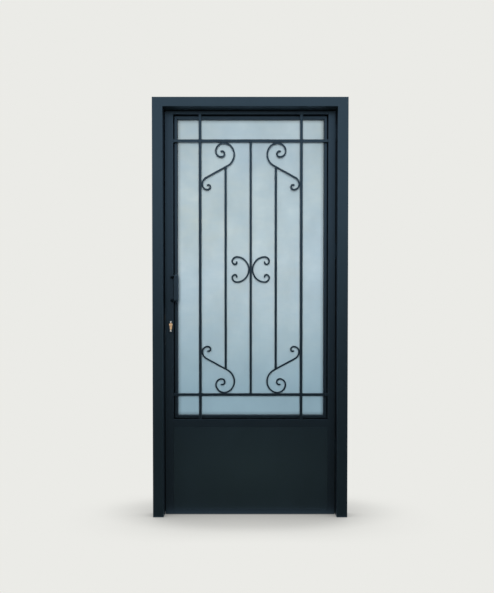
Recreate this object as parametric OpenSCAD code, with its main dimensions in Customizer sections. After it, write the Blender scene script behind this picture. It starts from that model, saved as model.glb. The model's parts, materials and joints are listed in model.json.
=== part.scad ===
// Steel security door in its frame: an inward-opening leaf with a flush lower panel, a barred window
// with welded scrolls, and a glazed casement that opens inwards behind the bars.
// The street side faces -Y, the hinges are at +X, the floor is Z = 0. All sizes are in millimetres.

/* [Frame] */
// Overall width of the frame
frame_w = 955; // [880:5:1100]
// Overall height of the frame
frame_h = 2050; // [1980:5:2250]
// Depth of the frame from the street face to the room face
frame_depth = 95; // [90:1:110]
// Width of a jamb's face
jamb_face = 52; // [44:1:70]
// Height of the head's face
head_face = 47; // [40:1:70]
// Thickness of the frame's sheet
frame_sheet = 1.6; // [1.2:0.1:2.5]
// Width of the lips that turn in along the wall
wall_lip = 15; // [10:1:20]
// Radius of the outside of each fold
fold_r = 2.4; // [2:0.1:3]
// Diameter of the hole for a frame fixing
fixing_d = 8.5; // [6:0.5:12]
// Height of the lowest frame fixing above the floor
fixing_base = 250; // [150:5:275]
// Height of the middle fixing above the strike plate
fixing_above_strike = 15; // [12:1:30]
// Distance of the top fixing below the head
fixing_drop = 153; // [152:1:220]
// Distance of the fixings behind the leaf's face
fixing_inset = 17; // [14:1:20]
// Outside diameter of the sleeve around a fixing
sleeve_d = 16; // [14:1:20]

/* [Leaf] */
// Distance from the frame's face back to the leaf's face
leaf_recess = 55; // [50:1:60]
// Thickness of the leaf
leaf_t = 45; // [43:1:50]
// Gap between the leaf and the frame at the sides and top
leaf_gap = 4; // [3.5:0.1:5]
// Gap between the leaf and the floor
floor_gap = 3; // [2:1:8]
// Width of the stile that holds the lock
lock_stile_w = 41.5; // [40.5:0.5:60]
// Width of the stile that holds the hinges
hinge_stile_w = 35.5; // [30:0.5:60]
// Height of the top rail
top_rail_h = 15; // [14:1:60]
// Height of the middle rail under the window
mid_rail_h = 40; // [30:1:80]
// Height of the bottom rail
bottom_rail_h = 25; // [20:1:80]
// Height of the window's sill above the floor
sill_z = 477; // [400:1:700]
// Thickness of the leaf's sheet
leaf_sheet = 1.6; // [1.2:0.1:2]
// Radius of the leaf tubes' corners
tube_r = 1; // [0.5:0.1:1.1]
// Lap of the leaf's rear flange over the frame
leaf_lap = 15; // [12:1:18]
// Depth of the flanges that turn back around each panel sheet
panel_flange = 12; // [8:1:16]

/* [Hinges] */
// Height of the bottom hinge's middle
hinge_low_z = 337; // [300:1:380]
// Distance from the middle hinge up to the top one
hinge_spacing = 582; // [540:1:640]
// Distance of the top hinge's middle below the leaf's top edge
hinge_drop = 101; // [90:1:300]
// Height of a hinge
hinge_h = 76; // [60:1:100]
// Outside diameter of a hinge's knuckles
knuckle_d = 13; // [12:0.5:16]
// Diameter of a hinge pin
hinge_pin_d = 7; // [6:0.5:8]
// Distance of the hinge plates behind the leaf's face
plate_inset = 5; // [3:1:12]

/* [Grille] */
// Side of the square long bars and cross bars
bar = 13; // [9:0.5:14]
// Side of the square centre bar and short bars, and depth of the scrolls
inner_bar = 11; // [8:0.5:14]
// Distance from the window's top edge to the middle of the upper cross bar
band_top = 129.5; // [100:0.5:160]
// Distance from the window's bottom edge to the middle of the lower cross bar
band_base = 122.5; // [100:0.5:160]
// Distance from the window's side edge to the middle of a long bar
side_band = 132.5; // [120:0.5:150]
// Thickness of the scroll strip
scroll_t = 7.5; // [4:0.5:8]
// Slope of the straight part of an S scroll, in degrees
scroll_slope = 28.7; // [24:0.1:34]
// Gap between a C scroll and the short bar beside it
c_gap = 23.5; // [12:0.5:40]
// Distance from the middle of a short bar to the upper end of an S scroll's straight
short_inset = 9.5; // [7.5:0.5:20]
// Distance of the C scrolls below the middle of the bars
c_drop = 6; // [0:1:30]

/* [Casement] */
// Gap between the casement and the window's edge
sash_gap = 5; // [4:0.5:7]
// Width of a sash bar's face
sash_face = 13.5; // [10:0.5:16]
// Gap between the bars and the casement's face
grille_gap = 1.5; // [1:0.1:3]
// Depth of a sash bar's tube
sash_depth = 19; // [17:1:22]
// Thickness of the sash sheet
sash_sheet = 1.6; // [1.2:0.1:2]
// Lap of the casement's rear flange over the leaf
sash_lap = 8; // [6:0.5:9]
// Room left between the leaf and the casement's rear flange
sash_seal_gap = 2; // [1.5:0.1:3]
// Thickness of the glass
glass_t = 6; // [4:1:6]
// Depth of a glazing bead
bead_depth = 7; // [5:0.5:9]
// Distance of the end hinges from the window's top and bottom edges
sash_hinge_inset = 170; // [120:5:220]
// Diameter of a casement hinge's barrel
barrel_d = 10; // [9:0.5:12]
// Length of one half of a casement hinge
barrel_h = 30; // [24:1:36]
// Diameter of a casement hinge's pin
barrel_pin_d = 6; // [5:0.5:6.5]
// Distance of the turn buttons from the window's top and bottom edges
button_inset = 300; // [240:5:360]
// Length of a turn button from its pivot to its tip
button_reach = 36; // [32:1:40]
// Width of a turn button
button_w = 14; // [12:0.5:16]
// Thickness of a turn button
button_t = 4; // [3:0.5:5]

/* [Lock] */
// Distance from the leaf's edge to the middle of the cylinder
backset = 28.5; // [27.5:0.5:29.5]
// Height of the cylinder plug's axis
plug_z = 947; // [900:1:1000]
// Height of the cylinder's section
cylinder_h = 33; // [31:0.5:34]
// Diameter of the round part of the cylinder
cylinder_d = 17; // [16:0.5:17.5]
// Width of the narrow part of the cylinder
cylinder_web = 10; // [9:0.5:11]
// Distance that the cylinder stands out of the leaf
cylinder_proud = 5; // [4.5:0.5:7]
// Diameter of the cylinder plug
plug_d = 13; // [12:0.5:13]
// Radius of the cam on the plug
cam_reach = 9.3; // [9:0.1:9.4]
// Width of an escutcheon
escutcheon_w = 24; // [22:0.5:25.5]
// Height of an escutcheon
escutcheon_h = 66; // [62:1:70]
// Thickness of an escutcheon
escutcheon_t = 4; // [3:0.5:4.5]
// Distance between an escutcheon's two screws
escutcheon_pitch = 44.5; // [44:0.5:48]
// Diameter of the escutcheon screws' heads
escutcheon_head_d = 8; // [6:0.5:9]
// Diameter of the escutcheon screws
escutcheon_screw_d = 4; // [3:0.5:4]
// Height of the lock case
case_h = 150; // [146:1:156]
// Thickness of the lock case
case_t = 17; // [16:0.5:20]
// Height of the lock's faceplate
faceplate_h = 190; // [180:1:210]
// Width of the lock's faceplate
faceplate_w = 20; // [20:1:24]
// Thickness of the faceplate and of the strike plate
plate_t = 2; // [1.5:0.1:2.2]
// Height of the latch bolt
latch_h = 20; // [16:1:22]
// Distance that the latch bolt stands out of the faceplate
latch_throw = 9; // [7:0.5:11]
// Height of the latch bolt's middle above the plug's axis
latch_rise = 36; // [35:1:40]
// Height of the deadbolt
deadbolt_h = 22; // [16:1:24]
// Distance that the deadbolt is thrown
deadbolt_throw = 16; // [12:1:18]
// Height of the deadbolt's middle below the plug's axis
deadbolt_drop = 46; // [46:1:50]
// Thickness of both bolts
bolt_t = 12; // [10:0.5:13]
// Length of the thumb turn's blade
turn_blade = 24; // [20:1:28]

/* [Pull handles] */
// Height of the grips' middle above the plug's axis
pull_rise = 178; // [165:1:220]
// Length of the grip
pull_len = 140; // [120:5:160]
// Diameter of the grip
grip_d = 24; // [18:1:26]
// Distance that a pull stands out from the leaf
pull_reach = 50; // [46:1:52]
// Sideways offset of the street-side grip from its feet
pull_crank = 24; // [18:1:30]
// Distance of the street-side pull's welded feet from the leaf's edge
outer_foot_inset = 34.5; // [30:0.5:34.5]
// Diameter of the street-side pull's feet
outer_foot_d = 13; // [12:0.5:13]
// Distance of the room-side pull's bolted feet from the leaf's edge
pull_inset = 21.5; // [20.5:0.5:22.5]
// Diameter of the room-side pull's feet
foot_d = 22; // [20:1:22]
// Diameter of the room-side pull's bolts
pull_bolt_d = 8; // [6:1:8]

/* [Hidden] */
$fn = 48;

// Colours of the finishes
paint = [0.16, 0.21, 0.26];
paint_leaf = [0.13, 0.17, 0.21];
steel = [0.72, 0.73, 0.74];
brass = [0.80, 0.66, 0.42];
rubber = [0.06, 0.06, 0.065];
glass = [0.66, 0.76, 0.80, 0.85];

// Small clearances
seat = 0.1;          // between pieces that are welded or screwed together
running = 0.05;      // around a pin or plug that turns, on the radius
clear = 0.3;         // between pieces that pass each other
eps = 1;             // how far a cutter runs past what it cuts

// Places across the door
x_out = frame_w / 2;                 // outer edge of the frame
x_reveal = x_out - jamb_face;        // inner edge of a jamb
x_leaf = x_reveal - leaf_gap;        // edge of the leaf
x_win_l = -x_leaf + lock_stile_w;    // window's edge on the lock side
x_win_r = x_leaf - hinge_stile_w;    // window's edge on the hinge side
x_win = (x_win_l + x_win_r) / 2;     // middle of the window

// Places from front to back: the origin is in the middle of the whole depth
leaf_back_depth = leaf_recess + leaf_t;
y_face = -(leaf_back_depth + pull_reach) / 2;
y_frame_back = y_face + frame_depth;
y_leaf = y_face + leaf_recess;
y_back = y_leaf + leaf_t;
y_mid = y_leaf + leaf_t / 2;

// Heights
z_reveal = frame_h - head_face;
z_leaf_top = z_reveal - leaf_gap;
z_head = z_leaf_top - top_rail_h;    // window's top edge
z_win = (sill_z + z_head) / 2;
z_panel_top = sill_z - mid_rail_h;
z_panel_base = floor_gap + bottom_rail_h;

// Leaf flange and its seal
flange_out = leaf_gap + leaf_lap;
seal_room = y_back - leaf_sheet - y_frame_back;
seal_w = leaf_lap - 5;
gap_seal_depth = 8;

// Hinges
x_pin = x_reveal - leaf_gap / 2;
knuckle_r = knuckle_d / 2;
y_pin = y_back + knuckle_r + 0.5;
hinge_top_z = z_leaf_top - hinge_drop;
hinge_mid_z = hinge_top_z - hinge_spacing;
hinge_z = [hinge_low_z, hinge_mid_z, hinge_top_z];
knuckles = 5;
knuckle_pitch = hinge_h / knuckles;
pin_head_h = 2.5;
pin_foot_h = 1.5;

// Grille
cross_z = [sill_z + band_base, z_head - band_top];
z_grille = (cross_z[0] + cross_z[1]) / 2;
long_dx = (x_win_r - x_win_l) / 2 - side_band;
half_bar = bar / 2;
half_inner = inner_bar / 2;
y_inner = y_leaf + half_bar - half_inner;       // the inner bars and scrolls lie midway in the long bars
touch = half_bar + scroll_t / 2 + seat;         // middle of a strip that touches a bar's side
touch_inner = half_inner + scroll_t / 2 + seat; // and one that touches the centre bar
arc_step = 5;                                   // degrees between the points of a scroll's outline

// Radius and turn of each arc of a scroll, from its straight or its middle to its tip
s_big = [[64, 90 - scroll_slope], [59, 45], [48, 45], [40, 90], [28, 90], [15.5, 90], [12.5, 90], [9, 45]];
s_small = [[38, 90 - scroll_slope], [26, 90], [14.5, 90], [9, 90], [7, 60]];
c_half = [[64, 45], [58, 45], [22.5, 90], [14, 90], [8.5, 90], [6.5, 50]];

// Reach of a C scroll from the middle of the window
c_reach = scroll_t / 2
    - arc_end(arc_end(arc_end([-touch_inner, 0, 90], c_half[0]), c_half[1]), c_half[2])[0];
short_dx = c_reach + c_gap + half_inner;

// Ends of the straight of the upper left S scroll, measured from the middle of the window
s_low_x = -long_dx + touch + s_small[0][0] * (1 - sin(scroll_slope));
s_high_x = short_inset - short_dx;        // the short bars end under the straights
s_crown_h = s_big[0][0] * cos(scroll_slope) + s_big[1][0] * sin(45) + s_big[2][0] * (1 - sin(45));
s_high_z = cross_z[1] - touch - s_crown_h;
s_low_z = s_high_z - (s_high_x - s_low_x) * tan(scroll_slope);

// Casement
x_sash_l = x_win_l + sash_gap;
x_sash_r = x_win_r - sash_gap;
z_sash_b = sill_z + sash_gap;
z_sash_t = z_head - sash_gap;
sash_w = x_sash_r - x_sash_l;
sash_h = z_sash_t - z_sash_b;
sash_out = sash_gap + sash_lap;
y_sash = y_leaf + bar + grille_gap;
y_sash_flange = y_back + sash_seal_gap;
y_sash_back = y_sash_flange + sash_sheet;
sash_leg = y_sash_back - y_sash;
y_glass = y_sash + sash_depth + clear;
y_bead = y_glass + glass_t + clear;
glass_bite = sash_face - 3.5;
x_barrel = x_win_r + sash_lap + barrel_d / 2 + 1;
y_barrel = y_back + barrel_d / 2 + clear;
sash_hinge_z = [sill_z + sash_hinge_inset, z_win, z_head - sash_hinge_inset];
barrel_plate = 3;
barrel_cap = 3;

// Turn buttons
x_button = -x_leaf + pull_inset;
y_button = max(y_bead + bead_depth, y_sash_back) + clear;
button_z = [sill_z + button_inset, z_head - button_inset];
button_screw_d = 5;
button_head_h = 2.5;

// Lock
x_lock = -x_leaf + backset;
x_case_end = x_win_l - leaf_sheet - clear - seat;
case_wall = 1.5;
case_drop = 7;                       // middle of the case below the plug's axis
z_case = plug_z - case_drop;
screw_rise = 5.5;                    // upper escutcheon screw above the top of the cylinder
z_escutcheon = plug_z + cylinder_d / 2 + screw_rise - escutcheon_pitch / 2;
z_latch = plug_z + latch_rise;
z_deadbolt = plug_z - deadbolt_drop;
x_plate = -x_leaf - plate_t;
latch_tail = x_case_end - case_wall - latch_throw - clear;
bolt_hold = 12;                      // length of the deadbolt that stays in the case when it is thrown
deadbolt_tail = x_plate + deadbolt_throw + bolt_hold;
faceplate_screw_z = [z_case - faceplate_h / 2 + 8, z_case + faceplate_h / 2 - 8];
plate_screw_d = 5;
plate_head_d = 9;
cam_t = 9;
notch_room = 4;                      // room above and below the inner escutcheon in the casement's flange
notch_h = escutcheon_h + 2 * notch_room;
notch_edge = x_lock + escutcheon_w / 2 + 2 * clear;

// Frame fixings
y_fix = y_leaf + fixing_inset;
fixing_z = [fixing_base, z_case + faceplate_h / 2 + fixing_above_strike, z_reveal - fixing_drop];

// Pulls
x_pull_outer = -x_leaf + outer_foot_inset;
x_pull = -x_leaf + pull_inset;
bolt_in_foot = 8;
pull_nut_d = pull_bolt_d + 6;
pull_nut_h = 6;
pull_z = plug_z + pull_rise;
pull_foot_z = [pull_z - pull_len / 2 + 13, pull_z + pull_len / 2 - 13];
foot_h = 12;
post_d = 12;

// ---- helpers -------------------------------------------------------------------------------------

// Box from its lowest to its highest corner
module block(lo, hi) {
    translate(lo) cube(hi - lo);
}

// Extrudes a shape drawn in X and Z from y0 to y1
module slab(y0, y1) {
    translate([0, y1, 0]) rotate([90, 0, 0]) linear_extrude(y1 - y0) children();
}

// Cylinder along +Y that starts at p
module rod_y(p, d, len) {
    translate(p) rotate([-90, 0, 0]) cylinder(d = d, h = len);
}

// Cylinder along +X that starts at p
module rod_x(p, d, len) {
    translate(p) rotate([0, 90, 0]) cylinder(d = d, h = len);
}

// Rectangle with round corners, from its lowest to its highest corner
module round_rect(lo, hi, r) {
    translate([lo[0] + r, lo[1]]) square([hi[0] - lo[0] - 2 * r, hi[1] - lo[1]]);
    translate([lo[0], lo[1] + r]) square([hi[0] - lo[0], hi[1] - lo[1] - 2 * r]);
    for (x = [lo[0] + r, hi[0] - r], y = [lo[1] + r, hi[1] - r]) translate([x, y]) circle(r = r);
}

// Section of a square-cornered tube with slightly round outer corners
module tube_section(lo, hi, sheet, r) {
    difference() {
        round_rect(lo, hi, r);
        translate(lo + [sheet, sheet]) square(hi - lo - 2 * [sheet, sheet]);
    }
}

// Upright stadium of width w and height h around the origin
module stadium(w, h) {
    for (s = [-1, 1]) translate([0, s * (h - w) / 2]) circle(d = w);
    translate([-w / 2, -(h - w) / 2]) square([w, h - w]);
}

function unit(v) = v / norm(v);

// Sheet of thickness t folded square along the points of its middle line, r is the fold's outer radius
module folded(pts, t, r) {
    m = r - t / 2;
    last = len(pts) - 1;
    for (i = [0:last - 1]) {
        u = unit(pts[i + 1] - pts[i]);
        a = pts[i] + (i > 0 ? m : 0) * u;
        b = pts[i + 1] - (i < last - 1 ? m : 0) * u;
        translate(a) rotate(atan2(u[1], u[0])) translate([0, -t / 2]) square([norm(b - a), t]);
    }
    for (i = [1:last - 1]) {
        u = unit(pts[i] - pts[i - 1]);
        v = unit(pts[i + 1] - pts[i]);
        w = 2 * r;
        translate(pts[i] - m * u + m * v) intersection() {
            difference() {
                circle(r = r);
                circle(r = r - t);
            }
            polygon([[0, 0], w * u, w * u - w * v, -w * v]);
        }
    }
}

// ---- frame ---------------------------------------------------------------------------------------

// Section of the frame: X runs from the wall towards the opening, Y from the street face to the room
module frame_section(face) {
    h = frame_sheet / 2;
    back = frame_depth;
    folded([[h, wall_lip], [h, h], [face - h, h], [face - h, back - h], [h, back - h],
        [h, back - wall_lip]], frame_sheet, fold_r);
}

// Shape in X and Z on one side of the right-hand corner's mitre line: the head's or the jamb's
module mitre_side(above) {
    slope = head_face / jamb_face;
    far = 60;
    low = [x_reveal - far, z_reveal - far * slope];
    high = [x_out + far, frame_h + far * slope];
    polygon([low, high, above ? [low[0], high[1]] : [high[0], low[1]]]);
}

// Right-hand jamb without its holes
module jamb_blank() {
    difference() {
        translate([x_out, y_face, 0]) mirror([1, 0, 0]) linear_extrude(frame_h)
            frame_section(jamb_face);
        slab(y_face - eps, y_frame_back + eps) mitre_side(true);
    }
}

module fixing_holes() {
    for (z = fixing_z) rod_x([x_reveal - eps, y_fix, z], fixing_d, jamb_face / 2);
}

module jamb_right() {
    color(paint) difference() {
        jamb_blank();
        fixing_holes();
    }
}

// Holes for the two bolts in the reveal or the strike plate
module bolt_holes(x0, x1) {
    for (b = [[z_latch, latch_h], [z_deadbolt, deadbolt_h]])
        block([x0, y_mid - bolt_t / 2 - eps, b[0] - b[1] / 2 - eps],
            [x1, y_mid + bolt_t / 2 + eps, b[0] + b[1] / 2 + eps]);
}

module jamb_left() {
    color(paint) difference() {
        mirror([1, 0, 0]) jamb_blank();
        mirror([1, 0, 0]) fixing_holes();
        bolt_holes(-x_reveal - frame_sheet - eps, -x_reveal + eps);
        for (z = faceplate_screw_z)
            rod_x([-x_reveal - 2 * plate_t, y_mid, z], plate_head_d + 2 * seat, 3 * plate_t);
    }
}

module head_member() {
    color(paint) difference() {
        translate([-x_out, y_face, frame_h]) rotate([0, 90, 0]) linear_extrude(frame_w)
            frame_section(head_face);
        for (side = [0, 1]) mirror([side, 0, 0])
            slab(y_face - eps, y_frame_back + eps) mitre_side(false);
    }
}

// Spacer tubes that keep the fixings from crushing the jambs
module fixing_sleeves() {
    length = jamb_face - frame_sheet - seat;
    color(steel) for (side = [0, 1]) mirror([side, 0, 0]) for (z = fixing_z)
        translate([x_reveal + frame_sheet + seat, y_fix, z]) rotate([0, 90, 0]) difference() {
            cylinder(d = sleeve_d, h = length);
            translate([0, 0, -eps]) cylinder(d = fixing_d, h = length + 2 * eps);
        }
}

module strike_plate() {
    x1 = -x_reveal - frame_sheet - seat;
    x0 = x1 - plate_t;
    color(steel) difference() {
        block([x0, y_mid - faceplate_w / 2, z_case - faceplate_h / 2],
            [x1, y_mid + faceplate_w / 2, z_case + faceplate_h / 2]);
        bolt_holes(x0 - eps, x1 + eps);
        for (z = faceplate_screw_z)
            rod_x([x0 - eps, y_mid, z], plate_screw_d + 2 * running, plate_t + 2 * eps);
    }
}

// Flat-headed screw along +X whose head's outer face is at p
module face_screw(p, head_h, len) {
    rod_x(p, plate_head_d, head_h);
    rod_x(p, plate_screw_d, len);
}

module strike_screws() {
    color(steel) for (z = faceplate_screw_z) mirror([1, 0, 0])
        face_screw([x_reveal, y_mid, z], frame_sheet, frame_sheet + plate_t + 6);
}

// Seals: behind the leaf's flange on the lock side and the head, and in the gap on the hinge side
module frame_gasket() {
    thick = seal_room - clear;
    inner = x_reveal + 3;
    top = z_reveal + 3;
    y0 = y_frame_back;
    segments = [[floor_gap, hinge_low_z], [hinge_low_z, hinge_mid_z], [hinge_mid_z, hinge_top_z],
        [hinge_top_z, z_reveal]];
    color(rubber) {
        block([-inner - seal_w, y0, floor_gap], [-inner, y0 + thick, top + seal_w]);
        block([-inner, y0, top], [x_leaf, y0 + thick, top + seal_w]);
        for (i = [0:3]) {
            low = segments[i][0] + (i > 0 ? hinge_h / 2 + 2 : 0);
            high = segments[i][1] - (i < 3 ? hinge_h / 2 + 2 : 2);
            block([x_leaf + clear, y_mid, low], [x_reveal, y_mid + gap_seal_depth, high]);
        }
    }
}

// ---- hinges of the leaf --------------------------------------------------------------------------

// One half of a butt hinge around z: own says which knuckles it has, x0 and x1 bound its plate
module butt_half(z, own, x0, x1) {
    low = z - hinge_h / 2;
    stop = y_pin - knuckle_r - clear;
    difference() {
        union() {
            block([x0, y_leaf + plate_inset, low], [x1, stop, low + hinge_h]);
            for (k = own) {
                base = low + k * knuckle_pitch + clear / 2;
                height = knuckle_pitch - clear;
                block([x0, stop, base], [x1, y_pin, base + height]);
                translate([x_pin, y_pin, base]) cylinder(d = knuckle_d, h = height);
            }
        }
        translate([x_pin, y_pin, low - eps])
            cylinder(d = hinge_pin_d + 2 * running, h = hinge_h + 2 * eps);
    }
}

module hinge_frame(z) {
    color(paint) butt_half(z, [0, 2, 4], x_pin + seat, x_reveal);
}

module hinge_leaf(z) {
    color(paint_leaf) butt_half(z, [1, 3], x_leaf, x_pin - seat);
}

module hinge_frame_bottom() {
    hinge_frame(hinge_z[0]);
}

module hinge_frame_middle() {
    hinge_frame(hinge_z[1]);
}

module hinge_frame_top() {
    hinge_frame(hinge_z[2]);
}

module hinge_leaf_bottom() {
    hinge_leaf(hinge_z[0]);
}

module hinge_leaf_middle() {
    hinge_leaf(hinge_z[1]);
}

module hinge_leaf_top() {
    hinge_leaf(hinge_z[2]);
}

module hinge_pins() {
    head_d = knuckle_d - 3;
    color(steel) for (z = hinge_z) translate([x_pin, y_pin, z - hinge_h / 2]) {
        cylinder(d = hinge_pin_d, h = hinge_h);
        translate([0, 0, -pin_foot_h]) cylinder(d = head_d - 1, h = pin_foot_h);
        translate([0, 0, hinge_h]) cylinder(d = head_d, h = pin_head_h);
    }
}

// ---- leaf ----------------------------------------------------------------------------------------

module stile_tube(x0, x1) {
    translate([0, 0, floor_gap]) linear_extrude(z_leaf_top - floor_gap)
        tube_section([x0, y_leaf], [x1, y_back], leaf_sheet, tube_r);
}

module lock_stile() {
    x0 = -x_leaf;
    color(paint_leaf) difference() {
        union() {
            stile_tube(x0, x_win_l);
            block([x0 - flange_out, y_back - leaf_sheet, floor_gap],
                [x0 + leaf_sheet, y_back, z_leaf_top + flange_out]);
            block([x0, y_back - leaf_sheet, z_leaf_top - leaf_sheet],
                [x_win_l, y_back, z_leaf_top + flange_out]);
        }
        block([x0 - eps, y_mid - case_t / 2 - clear, z_case - case_h / 2 - clear],
            [x0 + leaf_sheet + eps, y_mid + case_t / 2 + clear, z_case + case_h / 2 + clear]);
        for (z = faceplate_screw_z) rod_x([x0 - eps, y_mid, z], plate_screw_d + 2 * seat, 3);
        slab(y_leaf - eps, y_back + eps) {
            cylinder_outline(clear);
            escutcheon_screw_places() circle(d = escutcheon_screw_d + 2 * seat);
        }
        for (z = pull_foot_z) rod_y([x_pull, y_mid, z], pull_bolt_d + 2 * seat, leaf_t);
        for (z = button_z) rod_y([x_button, y_mid, z], button_screw_d + 2 * seat, leaf_t);
    }
}

module hinge_stile() {
    color(paint_leaf) {
        stile_tube(x_win_r, x_leaf);
        block([x_win_r, y_back - leaf_sheet, z_leaf_top - leaf_sheet],
            [x_leaf, y_back, z_leaf_top + flange_out]);
    }
}

module rail_tube(z0, z1) {
    translate([x_win_l, 0, z0]) rotate([90, 0, 90]) linear_extrude(x_win_r - x_win_l)
        tube_section([y_leaf, 0], [y_back, z1 - z0], leaf_sheet, tube_r);
}

module top_rail() {
    color(paint_leaf) {
        rail_tube(z_head, z_leaf_top);
        block([x_win_l, y_back - leaf_sheet, z_leaf_top - leaf_sheet],
            [x_win_r, y_back, z_leaf_top + flange_out]);
    }
}

module middle_rail() {
    color(paint_leaf) rail_tube(z_panel_top, sill_z);
}

module bottom_rail() {
    color(paint_leaf) rail_tube(floor_gap, z_panel_base);
}

// Panel sheet with its edges turned back: face is the flat side's place, depth runs away from it
module panel_tray(face, depth) {
    lo = min(face, face + depth);
    hi = max(face, face + depth);
    inset = leaf_sheet;
    open = depth > 0 ? [inset, eps] : [-eps, -inset];
    difference() {
        block([x_win_l, lo, z_panel_base], [x_win_r, hi, z_panel_top]);
        block([x_win_l + inset, lo + open[0], z_panel_base + inset],
            [x_win_r - inset, hi + open[1], z_panel_top - inset]);
    }
}

module panel_outer() {
    color(paint_leaf) panel_tray(y_leaf, panel_flange);
}

module panel_inner() {
    color(paint_leaf) panel_tray(y_back, -panel_flange);
}

// ---- lock ----------------------------------------------------------------------------------------

// Outline of the profile cylinder in X and Z, grown by extra
module cylinder_outline(extra) {
    foot = cylinder_h - cylinder_d / 2 - cylinder_web / 2;
    translate([x_lock, plug_z]) {
        circle(d = cylinder_d + 2 * extra);
        translate([0, -foot]) circle(d = cylinder_web + 2 * extra);
        translate([-cylinder_web / 2 - extra, -foot]) square([cylinder_web + 2 * extra, foot]);
    }
}

module escutcheon_screw_places() {
    for (s = [-1, 1]) translate([x_lock, z_escutcheon + s * escutcheon_pitch / 2]) children();
}

module lock_case() {
    x0 = -x_leaf;
    y0 = y_mid - case_t / 2;
    y1 = y_mid + case_t / 2;
    z0 = z_case - case_h / 2;
    z1 = z_case + case_h / 2;
    w = case_wall;
    color(steel) difference() {
        block([x0, y0, z0], [x_case_end, y1, z1]);
        block([x0 + w, y0 + w, z0 + w], [x_case_end - w, y1 - w, z1 - w]);
        block([x_case_end - w - eps, y0 + w, plug_z - cam_reach - 2],
            [x_case_end + eps, y1 - w, plug_z + cam_reach + 2]);
        for (b = [[z_latch, latch_h], [z_deadbolt, deadbolt_h]])
            block([x0 - eps, y_mid - bolt_t / 2 - seat, b[0] - b[1] / 2 - seat],
                [x0 + w + eps, y_mid + bolt_t / 2 + seat, b[0] + b[1] / 2 + seat]);
        slab(y0 - eps, y1 + eps) {
            cylinder_outline(seat);
            escutcheon_screw_places() circle(d = escutcheon_screw_d + 2 * seat);
        }
    }
}

module lock_faceplate() {
    color(steel) difference() {
        block([x_plate, y_mid - faceplate_w / 2, z_case - faceplate_h / 2],
            [-x_leaf, y_mid + faceplate_w / 2, z_case + faceplate_h / 2]);
        for (b = [[z_latch, latch_h], [z_deadbolt, deadbolt_h]])
            block([x_plate - eps, y_mid - bolt_t / 2 - seat, b[0] - b[1] / 2 - seat],
                [-x_leaf + eps, y_mid + bolt_t / 2 + seat, b[0] + b[1] / 2 + seat]);
        for (z = faceplate_screw_z) {
            rod_x([x_plate - eps, y_mid, z], plate_screw_d + 2 * seat, plate_t + 2 * eps);
            rod_x([x_plate - eps, y_mid, z], plate_head_d + 2 * seat, eps + plate_t / 2);
        }
    }
}

module faceplate_screws() {
    color(steel) for (z = faceplate_screw_z)
        face_screw([x_plate, y_mid, z], plate_t / 2 - seat, plate_t + 9);
}

module cylinder_body() {
    y0 = y_leaf - cylinder_proud;
    y1 = y_back + cylinder_proud;
    color(brass) difference() {
        slab(y0, y1) cylinder_outline(0);
        rod_y([x_lock, y0 - eps, plug_z], plug_d + 2 * running, y1 - y0 + 2 * eps);
        block([x_lock - cylinder_d, y_mid - cam_t / 2 - clear, plug_z - cam_reach - clear],
            [x_lock + cylinder_d, y_mid + cam_t / 2 + clear, plug_z + cylinder_d]);
    }
}

// Oval plate with a raised middle, at the leaf's face and facing the street
module escutcheon_plate() {
    step = escutcheon_t / 2;
    difference() {
        union() {
            slab(-step, 0) translate([x_lock, z_escutcheon]) stadium(escutcheon_w, escutcheon_h);
            slab(-escutcheon_t, -step) translate([x_lock, z_escutcheon])
                stadium(escutcheon_w - 3, escutcheon_h - 3);
        }
        slab(-escutcheon_t - eps, eps) {
            cylinder_outline(clear);
            escutcheon_screw_places() circle(d = escutcheon_screw_d + 2 * seat);
        }
    }
}

module escutcheon_outer() {
    color(paint_leaf) translate([0, y_leaf, 0]) escutcheon_plate();
}

module escutcheon_inner() {
    color(paint_leaf) translate([0, y_back, 0]) mirror([0, 1, 0]) escutcheon_plate();
}

module escutcheon_screws() {
    head_h = 1.5;
    color(steel) slab(y_leaf - escutcheon_t, y_back + escutcheon_t)
        escutcheon_screw_places() circle(d = escutcheon_screw_d);
    color(steel) slab(y_leaf - escutcheon_t - head_h, y_leaf - escutcheon_t)
        escutcheon_screw_places() circle(d = escutcheon_head_d);
    color(steel) slab(y_back + escutcheon_t, y_back + escutcheon_t + head_h)
        escutcheon_screw_places() circle(d = escutcheon_head_d);
}

// Latch bolt, bevelled on the side that meets the frame first as the leaf closes
module latch_bolt() {
    tip = x_plate - latch_throw;
    y0 = y_mid - bolt_t / 2;
    y1 = y_mid + bolt_t / 2;
    bevel = latch_throw - 1;
    color(brass) translate([0, 0, z_latch - latch_h / 2]) linear_extrude(latch_h)
        polygon([[latch_tail, y0], [latch_tail, y1], [tip, y1], [tip, y1 - 3], [tip + bevel, y0]]);
}

module deadbolt() {
    color(steel) block([x_plate, y_mid - bolt_t / 2, z_deadbolt - deadbolt_h / 2],
        [deadbolt_tail, y_mid + bolt_t / 2, z_deadbolt + deadbolt_h / 2]);
}

module cylinder_plug() {
    y0 = y_leaf - cylinder_proud;
    y1 = y_back + cylinder_proud;
    key_w = 1.6;
    key_h = 8;
    color(brass) difference() {
        union() {
            rod_y([x_lock, y0, plug_z], plug_d, y1 - y0);
            slab(y_mid - cam_t / 2, y_mid + cam_t / 2) translate([x_lock, plug_z])
                translate([-3, 0]) square([6, cam_reach - 0.5]);
        }
        block([x_lock - key_w / 2, y0 - eps, plug_z - key_h / 2 - eps],
            [x_lock + key_w / 2, y0 + 20, plug_z + key_h / 2 - eps]);
    }
}

module thumb_turn() {
    y0 = y_back + cylinder_proud;
    hub_h = 4;
    blade_w = 8;
    color(steel) {
        rod_y([x_lock, y0, plug_z], plug_d, hub_h);
        slab(y0 + hub_h, y0 + hub_h + 12) translate([x_lock, plug_z]) stadium(blade_w, turn_blade);
    }
}

// ---- pull handles --------------------------------------------------------------------------------

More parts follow.
